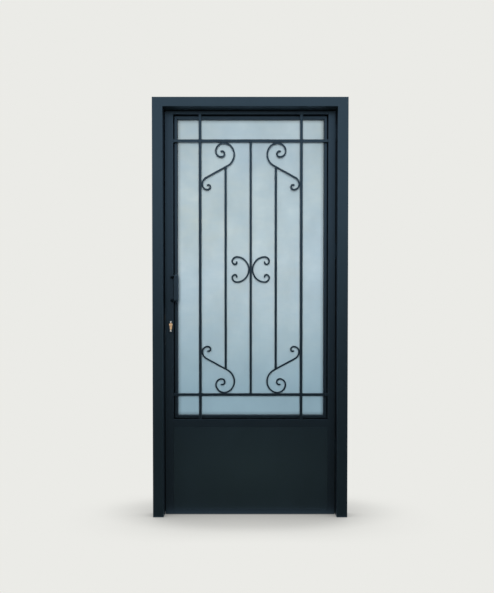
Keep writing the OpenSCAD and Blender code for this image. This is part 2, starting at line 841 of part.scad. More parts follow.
// Pull that stands out towards the street from the leaf's face, its grip moved sideways by crank
module pull(crank, foot) {
    axis = pull_reach - grip_d / 2;
    lean = atan2(crank, axis - foot_h);
    for (z = pull_foot_z) {
        rod_y([0, -foot_h, z], foot, foot_h);
        translate([0, -foot_h, z]) rotate([90, 0, lean]) {
            sphere(d = post_d);
            cylinder(d = post_d, h = norm([crank, axis - foot_h]));
        }
    }
    translate([crank, -axis, pull_z - pull_len / 2 + grip_d / 2]) {
        cylinder(d = grip_d, h = pull_len - grip_d);
        sphere(d = grip_d);
        translate([0, 0, pull_len - grip_d]) sphere(d = grip_d);
    }
}

module pull_outer() {
    color(paint_leaf) translate([x_pull_outer, y_leaf, 0]) pull(pull_crank, outer_foot_d);
}

module pull_inner() {
    color(paint_leaf) difference() {
        translate([x_pull, y_back, 0]) mirror([0, 1, 0]) pull(0, foot_d);
        for (z = pull_foot_z)
            rod_y([x_pull, y_back - eps, z], pull_bolt_d + 2 * seat, bolt_in_foot + seat + eps);
    }
}

// Bolts of the room-side pull, each with its nut behind the stile's wall
module pull_bolts() {
    wall = y_back - leaf_sheet - seat;
    color(steel) for (z = pull_foot_z) {
        rod_y([x_pull, wall - pull_nut_h - 2, z], pull_bolt_d, y_back + bolt_in_foot - wall + pull_nut_h + 2);
        rod_y([x_pull, wall - pull_nut_h, z], pull_nut_d, pull_nut_h);
    }
}

// ---- grille --------------------------------------------------------------------------------------

// Cross bar at height z, notched at the back where the long bars cross it
module cross_bar(z) {
    color(paint_leaf) difference() {
        block([x_win_l, y_leaf, z - half_bar], [x_win_r, y_leaf + bar, z + half_bar]);
        for (s = [-1, 1]) block([x_win + s * long_dx - half_bar - seat, y_leaf + half_bar, z - bar],
            [x_win + s * long_dx + half_bar + seat, y_leaf + bar + eps, z + bar]);
    }
}

// Long bar at x, notched at the front where it crosses the cross bars
module long_bar(x) {
    color(paint_leaf) difference() {
        block([x - half_bar, y_leaf, sill_z], [x + half_bar, y_leaf + bar, z_head]);
        for (z = cross_z) block([x - bar, y_leaf - eps, z - half_bar - seat],
            [x + bar, y_leaf + half_bar, z + half_bar + seat]);
    }
}

module cross_bar_top() {
    cross_bar(cross_z[1]);
}

module cross_bar_bottom() {
    cross_bar(cross_z[0]);
}

module long_bar_left() {
    long_bar(x_win - long_dx);
}

module long_bar_right() {
    long_bar(x_win + long_dx);
}

module centre_bar() {
    color(paint_leaf) block([x_win - half_inner, y_inner, cross_z[0] + half_bar],
        [x_win + half_inner, y_inner + inner_bar, cross_z[1] - half_bar]);
}

// Height of the lower side of the upper S scroll's straight at a distance x from the window's middle
function under_scroll(x) = s_high_z + (x - s_high_x) * tan(scroll_slope)
    - (scroll_t / 2 + seat) / cos(scroll_slope) - z_grille;

// Short bar left of the middle, its ends cut to lie against the scrolls
module short_bar() {
    x0 = -short_dx - half_inner;
    x1 = -short_dx + half_inner;
    color(paint_leaf) slab(y_inner, y_inner + inner_bar)
        polygon([[x0, under_scroll(x0)], [x1, under_scroll(x1)], [x1, -under_scroll(x1)],
            [x0, -under_scroll(x0)]]);
}

module short_bar_left() {
    translate([x_win, 0, z_grille]) short_bar();
}

module short_bar_right() {
    translate([x_win, 0, z_grille]) mirror([1, 0, 0]) short_bar();
}

// Place and heading after a left-hand arc from place p, which holds x, z and a heading
function arc_end(p, arc) = [
    p[0] + arc[0] * (sin(p[2] + arc[1]) - sin(p[2])),
    p[1] + arc[0] * (cos(p[2]) - cos(p[2] + arc[1])),
    p[2] + arc[1]
];

// Points beside left-hand arcs that follow one another from place p, off to the left of them
function beside(p, arcs, off, i = 0) = i == len(arcs) ? [] : concat(
    [for (k = [1:ceil(arcs[i][1] / arc_step)])
        let (r = arcs[i][0], a = p[2] + arcs[i][1] * k / ceil(arcs[i][1] / arc_step))
            [p[0] - r * sin(p[2]) + (r - off) * sin(a), p[1] + r * cos(p[2]) - (r - off) * cos(a)]],
    beside(arc_end(p, arcs[i]), arcs, off, i + 1));

// Both sides of such a strip: out along its outer side and back along its inner side
function strip_edge(p, arcs) = concat(
    [[p[0] + scroll_t / 2 * sin(p[2]), p[1] - scroll_t / 2 * cos(p[2])]],
    beside(p, arcs, -scroll_t / 2),
    reversed(beside(p, arcs, scroll_t / 2)),
    [[p[0] - scroll_t / 2 * sin(p[2]), p[1] + scroll_t / 2 * cos(p[2])]]);

function reversed(v) = [for (i = [len(v) - 1:-1:0]) v[i]];

// Upper left S scroll, measured from the middle of the grille
module s_scroll() {
    color(paint_leaf) slab(y_inner, y_inner + inner_bar) translate([0, -z_grille]) polygon(concat(
        strip_edge([s_high_x, s_high_z, scroll_slope], s_big),
        strip_edge([s_low_x, s_low_z, scroll_slope + 180], s_small)));
}

module s_scroll_top_left() {
    translate([x_win, 0, z_grille]) s_scroll();
}

module s_scroll_top_right() {
    translate([x_win, 0, z_grille]) mirror([1, 0, 0]) s_scroll();
}

module s_scroll_bottom_left() {
    translate([x_win, 0, z_grille]) mirror([0, 0, 1]) s_scroll();
}

module s_scroll_bottom_right() {
    translate([x_win, 0, z_grille]) rotate([0, 180, 0]) s_scroll();
}

// Left C scroll: its back lies against the centre bar
module c_scroll() {
    half = strip_edge([-touch_inner, 0, 90], c_half);
    color(paint_leaf) slab(y_inner, y_inner + inner_bar)
        polygon(concat(half, reversed([for (p = half) [p[0], -p[1]]])));
}

module c_scroll_left() {
    translate([x_win, 0, z_grille - c_drop]) c_scroll();
}

module c_scroll_right() {
    translate([x_win, 0, z_grille - c_drop]) mirror([1, 0, 0]) c_scroll();
}

// ---- casement ------------------------------------------------------------------------------------

// Mitred bar of length len around Z: X runs from its outer edge inwards, from -out to face
module mitred(len, out, face) {
    intersection() {
        translate([0, 0, -len / 2 - out]) linear_extrude(len + 2 * out) children();
        slab(-eps, sash_leg + bead_depth + 20)
            polygon([[-out, -len / 2 - out], [face, -len / 2 + face], [face, len / 2 - face],
                [-out, len / 2 + out]]);
    }
}

// Section of a sash bar: tube at the front, leg behind it and flange out over the leaf
module sash_section() {
    tube_section([0, 0], [sash_face, sash_depth], sash_sheet, tube_r);
    translate([0, sash_depth - sash_sheet]) square([sash_sheet, sash_leg - sash_depth + sash_sheet]);
    translate([-sash_out, sash_leg - sash_sheet]) square([sash_out + sash_sheet, sash_sheet]);
}

// Puts a bar that stands at the left edge of the casement at each of the four edges
module at_left() {
    translate([x_sash_l, y_sash, (z_sash_b + z_sash_t) / 2]) children();
}

module at_right() {
    translate([x_sash_r, y_sash, (z_sash_b + z_sash_t) / 2]) mirror([1, 0, 0]) children();
}

module at_bottom() {
    translate([x_win, y_sash, z_sash_b]) rotate([0, -90, 0]) children();
}

module at_top() {
    translate([x_win, y_sash, z_sash_t]) rotate([0, 90, 0]) children();
}

// Room around the inner escutcheon, cut out of the casement's flange and seal
module escutcheon_notch() {
    block([x_sash_l - sash_out - eps, y_back - eps, z_escutcheon - notch_h / 2],
        [notch_edge, y_sash_back + eps, z_escutcheon + notch_h / 2]);
}

module sash_left() {
    color(paint_leaf) difference() {
        at_left() mitred(sash_h, sash_out, sash_face) sash_section();
        escutcheon_notch();
    }
}

module sash_right() {
    color(paint_leaf) at_right() mitred(sash_h, sash_out, sash_face) sash_section();
}

module sash_top() {
    color(paint_leaf) at_top() mitred(sash_w, sash_out, sash_face) sash_section();
}

module sash_bottom() {
    color(paint_leaf) at_bottom() mitred(sash_w, sash_out, sash_face) sash_section();
}

module glass_pane() {
    inset = sash_face - glass_bite;
    color(glass) block([x_sash_l + inset, y_glass, z_sash_b + inset],
        [x_sash_r - inset, y_glass + glass_t, z_sash_t - inset]);
}

module bead_section() {
    translate([sash_sheet + seat, y_bead - y_sash]) square([sash_face - sash_sheet - seat, bead_depth]);
}

module glazing_beads() {
    color(paint_leaf) {
        at_left() mitred(sash_h, -seat, sash_face) bead_section();
        at_right() mitred(sash_h, -seat, sash_face) bead_section();
        at_top() mitred(sash_w - 0.2, -seat, sash_face) bead_section();
        at_bottom() mitred(sash_w - 0.2, -seat, sash_face) bead_section();
    }
}

// Seal between the casement's flange and the leaf
module sash_gasket() {
    inner = sash_gap + 1;
    outer = sash_out - 1;
    color(rubber) difference() {
        block([x_sash_l - outer, y_back + clear, z_sash_b - outer],
            [x_sash_r + outer, y_sash_flange, z_sash_t + outer]);
        block([x_sash_l - inner, y_back - eps, z_sash_b - inner],
            [x_sash_r + inner, y_sash_flange + eps, z_sash_t + inner]);
        escutcheon_notch();
    }
}

// Lower hinge halves: a barrel on a plate on the stile, with the pin standing in it
module sash_hinge_lower() {
    color(paint_leaf) for (z = sash_hinge_z) {
        block([x_barrel - barrel_d / 4, y_back, z - barrel_h],
            [x_barrel + barrel_d, y_back + barrel_plate, z - clear / 2]);
        translate([x_barrel, y_barrel, z - barrel_h]) {
            cylinder(d = barrel_d, h = barrel_h - clear / 2);
            cylinder(d = barrel_pin_d, h = 2 * barrel_h - barrel_cap - 1);
        }
    }
}

// Upper hinge halves: a closed barrel on a strap on the casement's flange
module sash_hinge_upper() {
    color(paint_leaf) for (z = sash_hinge_z) difference() {
        union() {
            block([x_win_r - 2, y_sash_back, z + clear / 2],
                [x_barrel, y_sash_back + barrel_plate, z + barrel_h]);
            translate([x_barrel, y_barrel, z + clear / 2]) cylinder(d = barrel_d, h = barrel_h - clear / 2);
        }
        translate([x_barrel, y_barrel, z - eps])
            cylinder(d = barrel_pin_d + 2 * running, h = barrel_h - barrel_cap + eps);
    }
}

// Turn button on the lock stile, standing clear of the casement until it is turned over its edge
module turn_button(z) {
    boss = y_button - y_back - seat;
    color(steel) translate([x_button, 0, z]) difference() {
        union() {
            slab(y_button, y_button + button_t) {
                circle(d = button_w);
                translate([-button_w / 2, 0]) square([button_w, button_reach - button_w / 2]);
                translate([0, button_reach - button_w / 2]) circle(d = button_w);
            }
            rod_y([0, y_back + seat, 0], button_w, boss + eps);
        }
        rod_y([0, y_back - eps, 0], button_screw_d + 2 * running, boss + button_t + 3 * eps);
    }
}

module turn_button_lower() {
    turn_button(button_z[0]);
}

module turn_button_upper() {
    turn_button(button_z[1]);
}

module button_screws() {
    top = y_button + button_t + seat;
    color(steel) for (z = button_z) {
        rod_y([x_button, y_back - 8, z], button_screw_d, top - y_back + 8);
        rod_y([x_button, top, z], button_screw_d + 4, button_head_h);
    }
}

// ---- nodes ---------------------------------------------------------------------------------------

jamb_left();
jamb_right();
head_member();
fixing_sleeves();
strike_plate();
strike_screws();
frame_gasket();
hinge_frame_top();
hinge_frame_middle();
hinge_frame_bottom();
hinge_pins();
lock_stile();
hinge_stile();
top_rail();
middle_rail();
bottom_rail();
panel_outer();
panel_inner();
hinge_leaf_top();
hinge_leaf_middle();
hinge_leaf_bottom();
lock_case();
lock_faceplate();
faceplate_screws();
cylinder_body();
escutcheon_outer();
escutcheon_inner();
escutcheon_screws();
pull_outer();
pull_inner();
pull_bolts();
sash_hinge_lower();
button_screws();
cross_bar_top();
cross_bar_bottom();
long_bar_left();
long_bar_right();
centre_bar();
short_bar_left();
short_bar_right();
s_scroll_top_left();
s_scroll_top_right();
s_scroll_bottom_left();
s_scroll_bottom_right();
c_scroll_left();
c_scroll_right();
latch_bolt();
deadbolt();
cylinder_plug();
thumb_turn();
sash_left();
sash_right();
sash_top();
sash_bottom();
glass_pane();
glazing_beads();
sash_gasket();
sash_hinge_upper();
turn_button_upper();
turn_button_lower();
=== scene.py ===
"""Steel security door in its frame.

Finishes on every piece, softened bars and fittings, welds and sealant, then light and camera.
"""
import json
import math

import bmesh
import bpy
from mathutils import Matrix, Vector

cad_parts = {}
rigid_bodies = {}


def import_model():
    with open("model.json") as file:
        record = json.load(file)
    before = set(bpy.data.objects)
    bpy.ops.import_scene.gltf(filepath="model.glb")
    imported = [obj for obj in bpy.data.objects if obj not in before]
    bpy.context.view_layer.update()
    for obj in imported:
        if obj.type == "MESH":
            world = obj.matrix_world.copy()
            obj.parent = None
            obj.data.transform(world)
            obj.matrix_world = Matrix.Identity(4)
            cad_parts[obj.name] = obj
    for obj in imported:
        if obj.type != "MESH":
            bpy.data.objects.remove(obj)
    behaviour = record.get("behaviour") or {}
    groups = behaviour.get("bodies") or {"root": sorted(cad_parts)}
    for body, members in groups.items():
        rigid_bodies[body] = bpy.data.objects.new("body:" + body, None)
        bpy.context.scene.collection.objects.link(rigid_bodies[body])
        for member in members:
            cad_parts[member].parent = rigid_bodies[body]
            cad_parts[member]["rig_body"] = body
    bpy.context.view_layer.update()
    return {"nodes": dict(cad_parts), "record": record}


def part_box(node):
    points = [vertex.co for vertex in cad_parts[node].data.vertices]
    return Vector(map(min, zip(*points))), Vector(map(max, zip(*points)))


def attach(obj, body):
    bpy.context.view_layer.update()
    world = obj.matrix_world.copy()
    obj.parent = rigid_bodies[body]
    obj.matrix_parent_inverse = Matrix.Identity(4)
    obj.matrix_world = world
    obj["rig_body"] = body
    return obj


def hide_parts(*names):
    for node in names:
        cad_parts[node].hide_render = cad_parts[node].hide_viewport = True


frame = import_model()
nodes = frame["nodes"]
SLOT_OF = {part["node"]: part["material_slot"] for part in frame["record"]["subparts"]}

FACE_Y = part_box("jamb_left")[0].y            # the frame's street face
LEAF_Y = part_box("lock_stile")[0].y           # the leaf's street face


# ---- materials ---------------------------------------------------------------------------

def srgb(*levels):
    """Linear colour from 0-255 screen levels."""
    shares = (level / 255 for level in levels)
    return tuple(((c + 0.055) / 1.055) ** 2.4 if c > 0.04 else c / 12.92 for c in shares) + (1.0,)


def dimmed(color, share):
    return tuple(share * c for c in color[:3]) + (1.0,)


class Finish:
    """A Principled material and the nodes that give it its detail."""

    def __init__(self, name, **constants):
        self.material = bpy.data.materials.new(name)
        self.material.use_nodes = True
        self.tree = self.material.node_tree
        self.shader = self.tree.nodes["Principled BSDF"]
        for socket, value in constants.items():
            self.shader.inputs[socket.replace("_", " ")].default_value = value

    def node(self, kind, inputs=None, **settings):
        made = self.tree.nodes.new(kind)
        for key, value in settings.items():
            setattr(made, key, value)
        for socket, value in (inputs or {}).items():
            self.feed(made.inputs[socket], value)
        return made

    def feed(self, socket, value):
        if isinstance(value, bpy.types.NodeSocket):
            self.tree.links.new(value, socket)
        else:
            socket.default_value = value

    def color(self, value):
        self.feed(self.shader.inputs["Base Color"], value)

    def roughness(self, value):
        self.feed(self.shader.inputs["Roughness"], value)

    def place(self, stretch=(1, 1, 1), shift=(0, 0, 0)):
        """Position on the piece, in metres, stretched along each axis and then shifted."""
        where = self.node("ShaderNodeTexCoord").outputs["Object"]
        mapping = {"Vector": where, "Scale": stretch, "Location": shift}
        return self.node("ShaderNodeMapping", mapping).outputs["Vector"]

    def noise(self, scale, detail=2.0, stretch=(1, 1, 1)):
        inputs = {"Vector": self.place(stretch), "Scale": scale, "Detail": detail}
        return self.node("ShaderNodeTexNoise", inputs).outputs["Fac"]

    def between(self, factor, low, high):
        """A number that runs from low to high as factor runs from 0.3 to 0.7."""
        inputs = {"Value": factor, "From Min": 0.3, "From Max": 0.7, "To Min": low, "To Max": high}
        return self.node("ShaderNodeMapRange", inputs).outputs["Result"]

    def ease(self, value, start, end, top=1.0):
        """A smooth step from 0 to top as value runs from start to end."""
        inputs = {"Value": value, "From Min": start, "From Max": end, "To Max": top}
        made = self.node("ShaderNodeMapRange", inputs, interpolation_type="SMOOTHSTEP")
        return made.outputs["Result"]

    def ball(self, where):
        """1 at the origin of where, falling to 0 at a distance of 1."""
        made = self.node("ShaderNodeTexGradient", {"Vector": where}, gradient_type="SPHERICAL")
        return made.outputs["Fac"]

    def blend(self, factor, first, second):
        made = self.node("ShaderNodeMix", data_type="RGBA")
        self.feed(made.inputs["Factor"], factor)
        self.feed(made.inputs["A"], first)
        self.feed(made.inputs["B"], second)
        return made.outputs["Result"]

    def bumps(self, *layers, edge=0.0):
        """Stacks (height, depth in metres) layers over edges rounded to the radius edge."""
        normal = None
        if edge:
            bevel = self.node("ShaderNodeBevel", {"Radius": edge}, samples=4)
            normal = bevel.outputs["Normal"]
        for height, depth in layers:
            inputs = {"Height": height, "Distance": depth, "Strength": 1.0}
            if normal is not None:
                inputs["Normal"] = normal
            normal = self.node("ShaderNodeBump", inputs).outputs["Normal"]
        self.feed(self.shader.inputs["Normal"], normal)
        return self


def enamel(name, light, dark, buckle=0.0, middle=None):
    """Satin enamel with a blue sheen: tone drift, smears and orange peel.

    Thin sheet also has a buckle, in metres, and a painted reflection: the paler tone of its
    middle.
    """
    finish = Finish(name, IOR=1.64, Specular_IOR_Level=1.0, Specular_Tint=(0.36, 0.6, 0.9, 1.0))
    drift = finish.noise(1.7, detail=3.0)
    tone = finish.blend(finish.between(drift, 0.0, 1.0), light, dark)
    if middle:
        low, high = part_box("panel_outer")
        reach = 0.85 * (high - low)          # from the panel's middle to where the painted reflection ends
        where = finish.node("ShaderNodeTexCoord").outputs["Object"]
        centred = finish.node("ShaderNodeVectorMath", {0: where, 1: (low + high) / 2},
                              operation="SUBTRACT")
        scaled = finish.node("ShaderNodeVectorMath",
                             {0: centred.outputs["Vector"], 1: (1 / reach.x, 0, 1 / reach.z)},
                             operation="MULTIPLY")
        # painted reflection: the panel's middle blends to the paler tone
        tone = finish.blend(finish.ball(scaled.outputs["Vector"]), tone, middle)
    finish.color(tone)
    smears = finish.noise(9.0, detail=4.0, stretch=(1, 1, 0.35))
    finish.roughness(finish.between(smears, 0.40, 0.46))
    layers = [(finish.noise(420.0, detail=1.0), 0.00006)]
    if buckle:
        layers.insert(0, (finish.noise(2.3, detail=0.0), buckle))
    return finish.bumps(*layers, edge=0.0009).material


def zinc(name, color, metallic, roughness):
    """Plated steel: fine brushing and dull blotches."""
    finish = Finish(name, Metallic=metallic)
    blotch = finish.between(finish.noise(60.0, detail=3.0), 0.0, 1.0)
    finish.color(finish.blend(blotch, color, dimmed(color, 0.82)))
    brushed = finish.noise(1600.0, stretch=(1, 1, 0.12))
    finish.roughness(finish.between(brushed, roughness - 0.02, roughness + 0.05))
    return finish.bumps((brushed, 0.000006), edge=0.0004).material


def brass(name, metallic, light, dark):
    """Satin brass with a light tarnish."""
    finish = Finish(name, Metallic=metallic)
    tarnish = finish.noise(120.0, detail=3.0)
    finish.color(finish.blend(finish.between(tarnish, 0.0, 1.0), light, dark))
    finish.roughness(finish.between(tarnish, 0.24, 0.36))
    scratches = finish.noise(1400.0, detail=1.0, stretch=(0.1, 1, 1))
    return finish.bumps((scratches, 0.00001), edge=0.0003).material


def rubber():
    """Dull black rubber with a fine grain."""
    finish = Finish("seal_rubber", Base_Color=srgb(26, 26, 28))
    finish.roughness(finish.between(finish.noise(90.0), 0.62, 0.8))
    return finish.bumps((finish.noise(900.0), 0.00004)).material


def obscured_glass():
    """Milky clouded glass under a polished face; a painted reflection pales it above; painted
    shade by the sash.
    """
    finish = Finish("obscured_glass", IOR=1.52, Coat_Weight=1.0, Coat_Roughness=0.12,
                    Coat_IOR=1.52, Transmission_Weight=0.08, Specular_IOR_Level=0.3)
    height = finish.node("ShaderNodeSeparateXYZ", {"Vector": finish.place()}).outputs["Z"]
    drift = finish.between(finish.noise(1.9), 0.0, 1.0)
    cloud = finish.between(finish.noise(6.0, detail=8.0, stretch=(1.2, 1, 0.8)), 0.0, 1.0)
    wisps = finish.between(finish.noise(13.0, detail=10.0, stretch=(1, 1, 2.2)), 0.0, 0.45)
    pale = finish.blend(drift, srgb(178, 191, 191), srgb(170, 190, 200))
    dusk = finish.blend(drift, srgb(158, 172, 172), srgb(154, 173, 185))
    upper = finish.blend(wisps, finish.blend(cloud, pale, dusk), srgb(150, 174, 188))
    lower = finish.blend(cloud, srgb(133, 160, 173), srgb(127, 153, 166))
    # painted reflection: paler above, blending from 0.55 m up to 1.25 m
    body = finish.blend(finish.ease(height, 0.55, 1.25), lower, upper)
    # painted shade: ambient occlusion darkens the glass within 2 cm of the sash
    sash_painted_shade = finish.node("ShaderNodeAmbientOcclusion", {"Color": body, "Distance": 0.02},
                         samples=8)
    finish.color(sash_painted_shade.outputs["Color"])
    finish.roughness(finish.between(finish.noise(40.0, detail=3.0), 0.5, 0.62))
    return finish.bumps((finish.noise(5.0, detail=1.0), 0.0001)).material


FRAME_ENAMEL = enamel("frame_enamel", srgb(12, 18, 19), srgb(10, 16, 17))
# The leaf and panel wear the frame's paint; their darker bases are painted shade of the recess
# behind the frame.
LEAF_ENAMEL = enamel("leaf_enamel", srgb(10, 14, 15), srgb(9, 13, 14))
PANEL_ENAMEL = enamel("panel_enamel", srgb(11, 16, 17), srgb(10, 15, 16), buckle=0.0012,
                      middle=srgb(21, 29, 29))
STEEL = zinc("zinc_steel", srgb(206, 205, 200), 0.4, 0.3)
CASE_STEEL = zinc("case_steel", srgb(186, 188, 190), 1.0, 0.34)
BRASS = brass("brass_satin", 0.4, srgb(216, 181, 142), srgb(192, 157, 119))
# painted shade: the latch bolt's brass is darkened for the dark gap beside the jamb it sits in
BOLT_BRASS_PAINTED_SHADE = brass("bolt_brass_painted_shade", 1.0, srgb(112, 92, 66), srgb(88, 72, 52))
RUBBER = rubber()
GLASS = obscured_glass()

BY_SLOT = {"frame_paint": FRAME_ENAMEL, "leaf_paint": LEAF_ENAMEL, "bright_steel": STEEL,
           "brass": BRASS, "seal_rubber": RUBBER, "obscured_glass": GLASS}
SPECIAL = {"panel_outer": PANEL_ENAMEL, "panel_inner": PANEL_ENAMEL, "latch_bolt": BOLT_BRASS_PAINTED_SHADE,
           "deadbolt": CASE_STEEL, "lock_case": CASE_STEEL, "lock_faceplate": CASE_STEEL,
           "faceplate_screws": CASE_STEEL, "strike_plate": CASE_STEEL,
           "strike_screws": CASE_STEEL, "hinge_pins": CASE_STEEL, "fixing_sleeves": CASE_STEEL}


def finish_nodes():
    for node, slot in SLOT_OF.items():
        mesh = nodes[node].data
        mesh.materials.clear()
        mesh.materials.append(SPECIAL.get(node, BY_SLOT[slot]))


# ---- making pieces -----------------------------------------------------------------------

def mesh_from(work, name):
    """Turns a bmesh into a mesh."""
    mesh = bpy.data.meshes.new(name)
    work.to_mesh(mesh)
    work.free()
    return mesh


def add_piece(name, mesh, body, slot):
    """A piece that rides on a body and has the finish of a material slot."""
    piece = bpy.data.objects.new(name, mesh)
    bpy.context.scene.collection.objects.link(piece)
    mesh.materials.clear()
    mesh.materials.append(BY_SLOT[slot])
    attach(piece, body)
    return piece


def skin(work, rows, closed=False):
    """Joins each row of points to the next one, and the last to the first where closed."""
    for near, far in zip(rows, rows[1:] + rows[:1] if closed else rows[1:]):
        for k in range(len(near)):
            after = (k + 1) % len(near)
            work.faces.new((near[k], near[after], far[after], far[k]))


# ---- softened copies of the solid bars and fittings --------------------------------------

SHARP = math.radians(30)       # edges that turn by more than this are rounded


def soften(node, width, segments=2):
    """Stands in for a CAD node, with its edges rounded off by width."""
    source = nodes[node]
    work = bmesh.new()
    work.from_mesh(source.data)
    # Each flat side becomes one face, so that only real edges are rounded.
    bmesh.ops.remove_doubles(work, verts=work.verts, dist=2e-6)
    bmesh.ops.dissolve_limit(work, angle_limit=math.radians(0.5), verts=work.verts,
                             edges=work.edges)
    mesh = mesh_from(work, node + "_soft")
    piece = add_piece(node + "_soft", mesh, source["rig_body"], SLOT_OF[node])
    bevel = piece.modifiers.new("round", "BEVEL")
    bevel.width = width
    bevel.segments = segments
    bevel.limit_method = "ANGLE"
    bevel.angle_limit = SHARP
    bevel.harden_normals = True
    mesh.shade_smooth()
    mesh.set_sharp_from_angle(angle=SHARP)
    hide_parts(node)


def soften_all():
    bars = [node for node in nodes
            if node.endswith(("_bar_left", "_bar_right")) or node == "centre_bar"
            or node.startswith("cross_bar") or "_scroll_" in node]
    for node in bars:
        soften(node, 0.0007)
    for node in ("escutcheon_outer", "escutcheon_inner"):
        soften(node, 0.0009, segments=3)
    for node in ("thumb_turn", "turn_button_upper", "turn_button_lower"):
        soften(node, 0.0007)


# ---- weld beads --------------------------------------------------------------------------

SIDES = 8                      # of a bead's section
ON_FACE = 0.0004               # points this near to a face count as lying on it
END_GAP = 0.0008               # from a bead's end to the face of the bars
CORNER_OUT = 0.0004            # from a corner of two bars to the middle of its bead
SCROLL_IN, HEART_IN = 0.0012, 0.0014                         # from a touching point to the bead
CROWN_STEP, FLANK_STEP, HEART_STEP = 0.011, 0.0077, 0.013    # and along the bar, either way
BUTT_IN = 0.004                # from the end of a short bar to the bead
CORNER_SIZE, CROWN_SIZE, FLANK_SIZE = 0.0022, 0.0016, 0.0014     # radii of the beads
HEART_SIZE, BUTT_SIZE, FOOT_SIZE = 0.0016, 0.0013, 0.0018
RIPPLES, FOOT_RIPPLES = 4, 16


def bead(work, start, end, radius):
    """A rippled weld bead from start to end, rounded off at both ends."""
    along = end - start
    turn = along.to_track_quat("Z", "Y").to_matrix()
    steps = RIPPLES * 4
    rows = []
    for i in range(steps + 1):
        t = i / steps
        swell = math.sqrt(max(0.0, 1 - (2 * t - 1) ** 6))      # full almost to both ends
        size = radius * swell * (0.9 + 0.1 * math.cos(2 * math.pi * RIPPLES * t))
        centre = start + along * t
        rows.append([work.verts.new(centre + turn @ Vector((size * math.cos(a),
                                                            size * math.sin(a), 0)))
                     for a in (2 * math.pi * k / SIDES for k in range(SIDES))])
    skin(work, rows)


def ring_bead(work, centre, reach, radius):
    """A rippled weld bead round a foot that stands out along Y."""
    steps = FOOT_RIPPLES * 3
    rows = []
    for i in range(steps):
        turn = 2 * math.pi * i / steps
        size = radius * (0.88 + 0.12 * math.cos(FOOT_RIPPLES * turn))
        rows.append([])
        for a in (2 * math.pi * k / SIDES for k in range(SIDES)):
            out = reach + size * math.cos(a)
            spot = Vector((out * math.cos(turn), size * math.sin(a), out * math.sin(turn)))
            rows[-1].append(work.verts.new(centre + spot))
    skin(work, rows, closed=True)


def touching(node, axis, high):
    """Middle of a node's outermost points along an axis: where a scroll meets its neighbour."""
    points = [v.co for v in nodes[node].data.vertices]
    edge = (max if high else min)(p[axis] for p in points)
    near = [p for p in points if abs(p[axis] - edge) < ON_FACE]
    return sum(near, Vector()) / len(near)


def feet(node):
    """Middle and radius of both feet by which a pull stands on the leaf's street face."""
    points = [v.co for v in nodes[node].data.vertices if abs(v.co.y - LEAF_Y) < ON_FACE]
    middle = (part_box(node)[0].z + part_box(node)[1].z) / 2
    for high in (False, True):
        foot = [p for p in points if (p.z > middle) == high]
        centre = sum(foot, Vector()) / len(foot)
        yield centre, max((p - centre).length for p in foot)


def corner_spots():
    """Place and radius of beads in the corners of crossing bars, and of bars and the leaf."""
    upright = [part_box(f"long_bar_{side}") for side in ("left", "right")]
    level = [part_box(f"cross_bar_{row}") for row in ("bottom", "top")]
    crossed = [z for low, high in level for z in (low.z, high.z)]
    for low, high in upright:
        ends = list(zip(crossed, (-1, 1, -1, 1))) + [(low.z, 1), (high.z, -1)]
        for x, out in ((low.x, -1), (high.x, 1)):
            for z, up in ends:
                yield x + out * CORNER_OUT, z + up * CORNER_OUT, CORNER_SIZE
    for low, high in level:
        for z, up in ((low.z, -1), (high.z, 1)):
            for x, out in ((low.x, 1), (high.x, -1)):
                yield x + out * CORNER_OUT, z + up * CORNER_OUT, CORNER_SIZE
    low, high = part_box("centre_bar")
    for x, out in ((low.x, -1), (high.x, 1)):
        for z, up in ((low.z, 1), (high.z, -1)):
            yield x + out * CORNER_OUT, z + up * CORNER_OUT, CORNER_SIZE


def scroll_spots():
    """Place and radius of beads on both sides of each point where a scroll is welded on."""
    for row, up in (("top", 1), ("bottom", -1)):
        for side, right in (("left", -1), ("right", 1)):
            scroll = f"s_scroll_{row}_{side}"
            crown = touching(scroll, 2, up > 0)
            flank = touching(scroll, 0, right > 0)
            for way in (-1, 1):
                yield crown.x + way * CROWN_STEP, crown.z - up * SCROLL_IN, CROWN_SIZE
                yield flank.x - right * SCROLL_IN, flank.z + way * FLANK_STEP, FLANK_SIZE
    for side, right in (("left", 1), ("right", -1)):
        heart = touching(f"c_scroll_{side}", 0, right > 0)
        for way in (-1, 1):
            yield heart.x - right * HEART_IN, heart.z + way * HEART_STEP, HEART_SIZE


def butt_spots():
    """Place and radius of beads at the ends of the short bars."""
    for side in ("left", "right"):
        low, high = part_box(f"short_bar_{side}")
        for x in (low.x, high.x):
            for z in (low.z + BUTT_IN, high.z - BUTT_IN):
                yield x, z, BUTT_SIZE


def welds():
    """Beads through the depth of the grille, and round the feet of the street-side pull."""
    work = bmesh.new()
    front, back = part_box("centre_bar")
    for spots in (corner_spots(), scroll_spots(), butt_spots()):
        for x, z, size in spots:
            bead(work, Vector((x, front.y + END_GAP, z)), Vector((x, back.y - END_GAP, z)), size)
    for centre, reach in feet("pull_outer"):
        ring_bead(work, centre, reach, FOOT_SIZE)
    bmesh.ops.remove_doubles(work, verts=work.verts, dist=1e-6)
    bmesh.ops.recalc_face_normals(work, faces=work.faces)
    mesh = mesh_from(work, "grille_welds")
    mesh.shade_smooth()
    add_piece("grille_welds", mesh, "leaf", "leaf_paint")


# ---- glazing sealant ---------------------------------------------------------------------

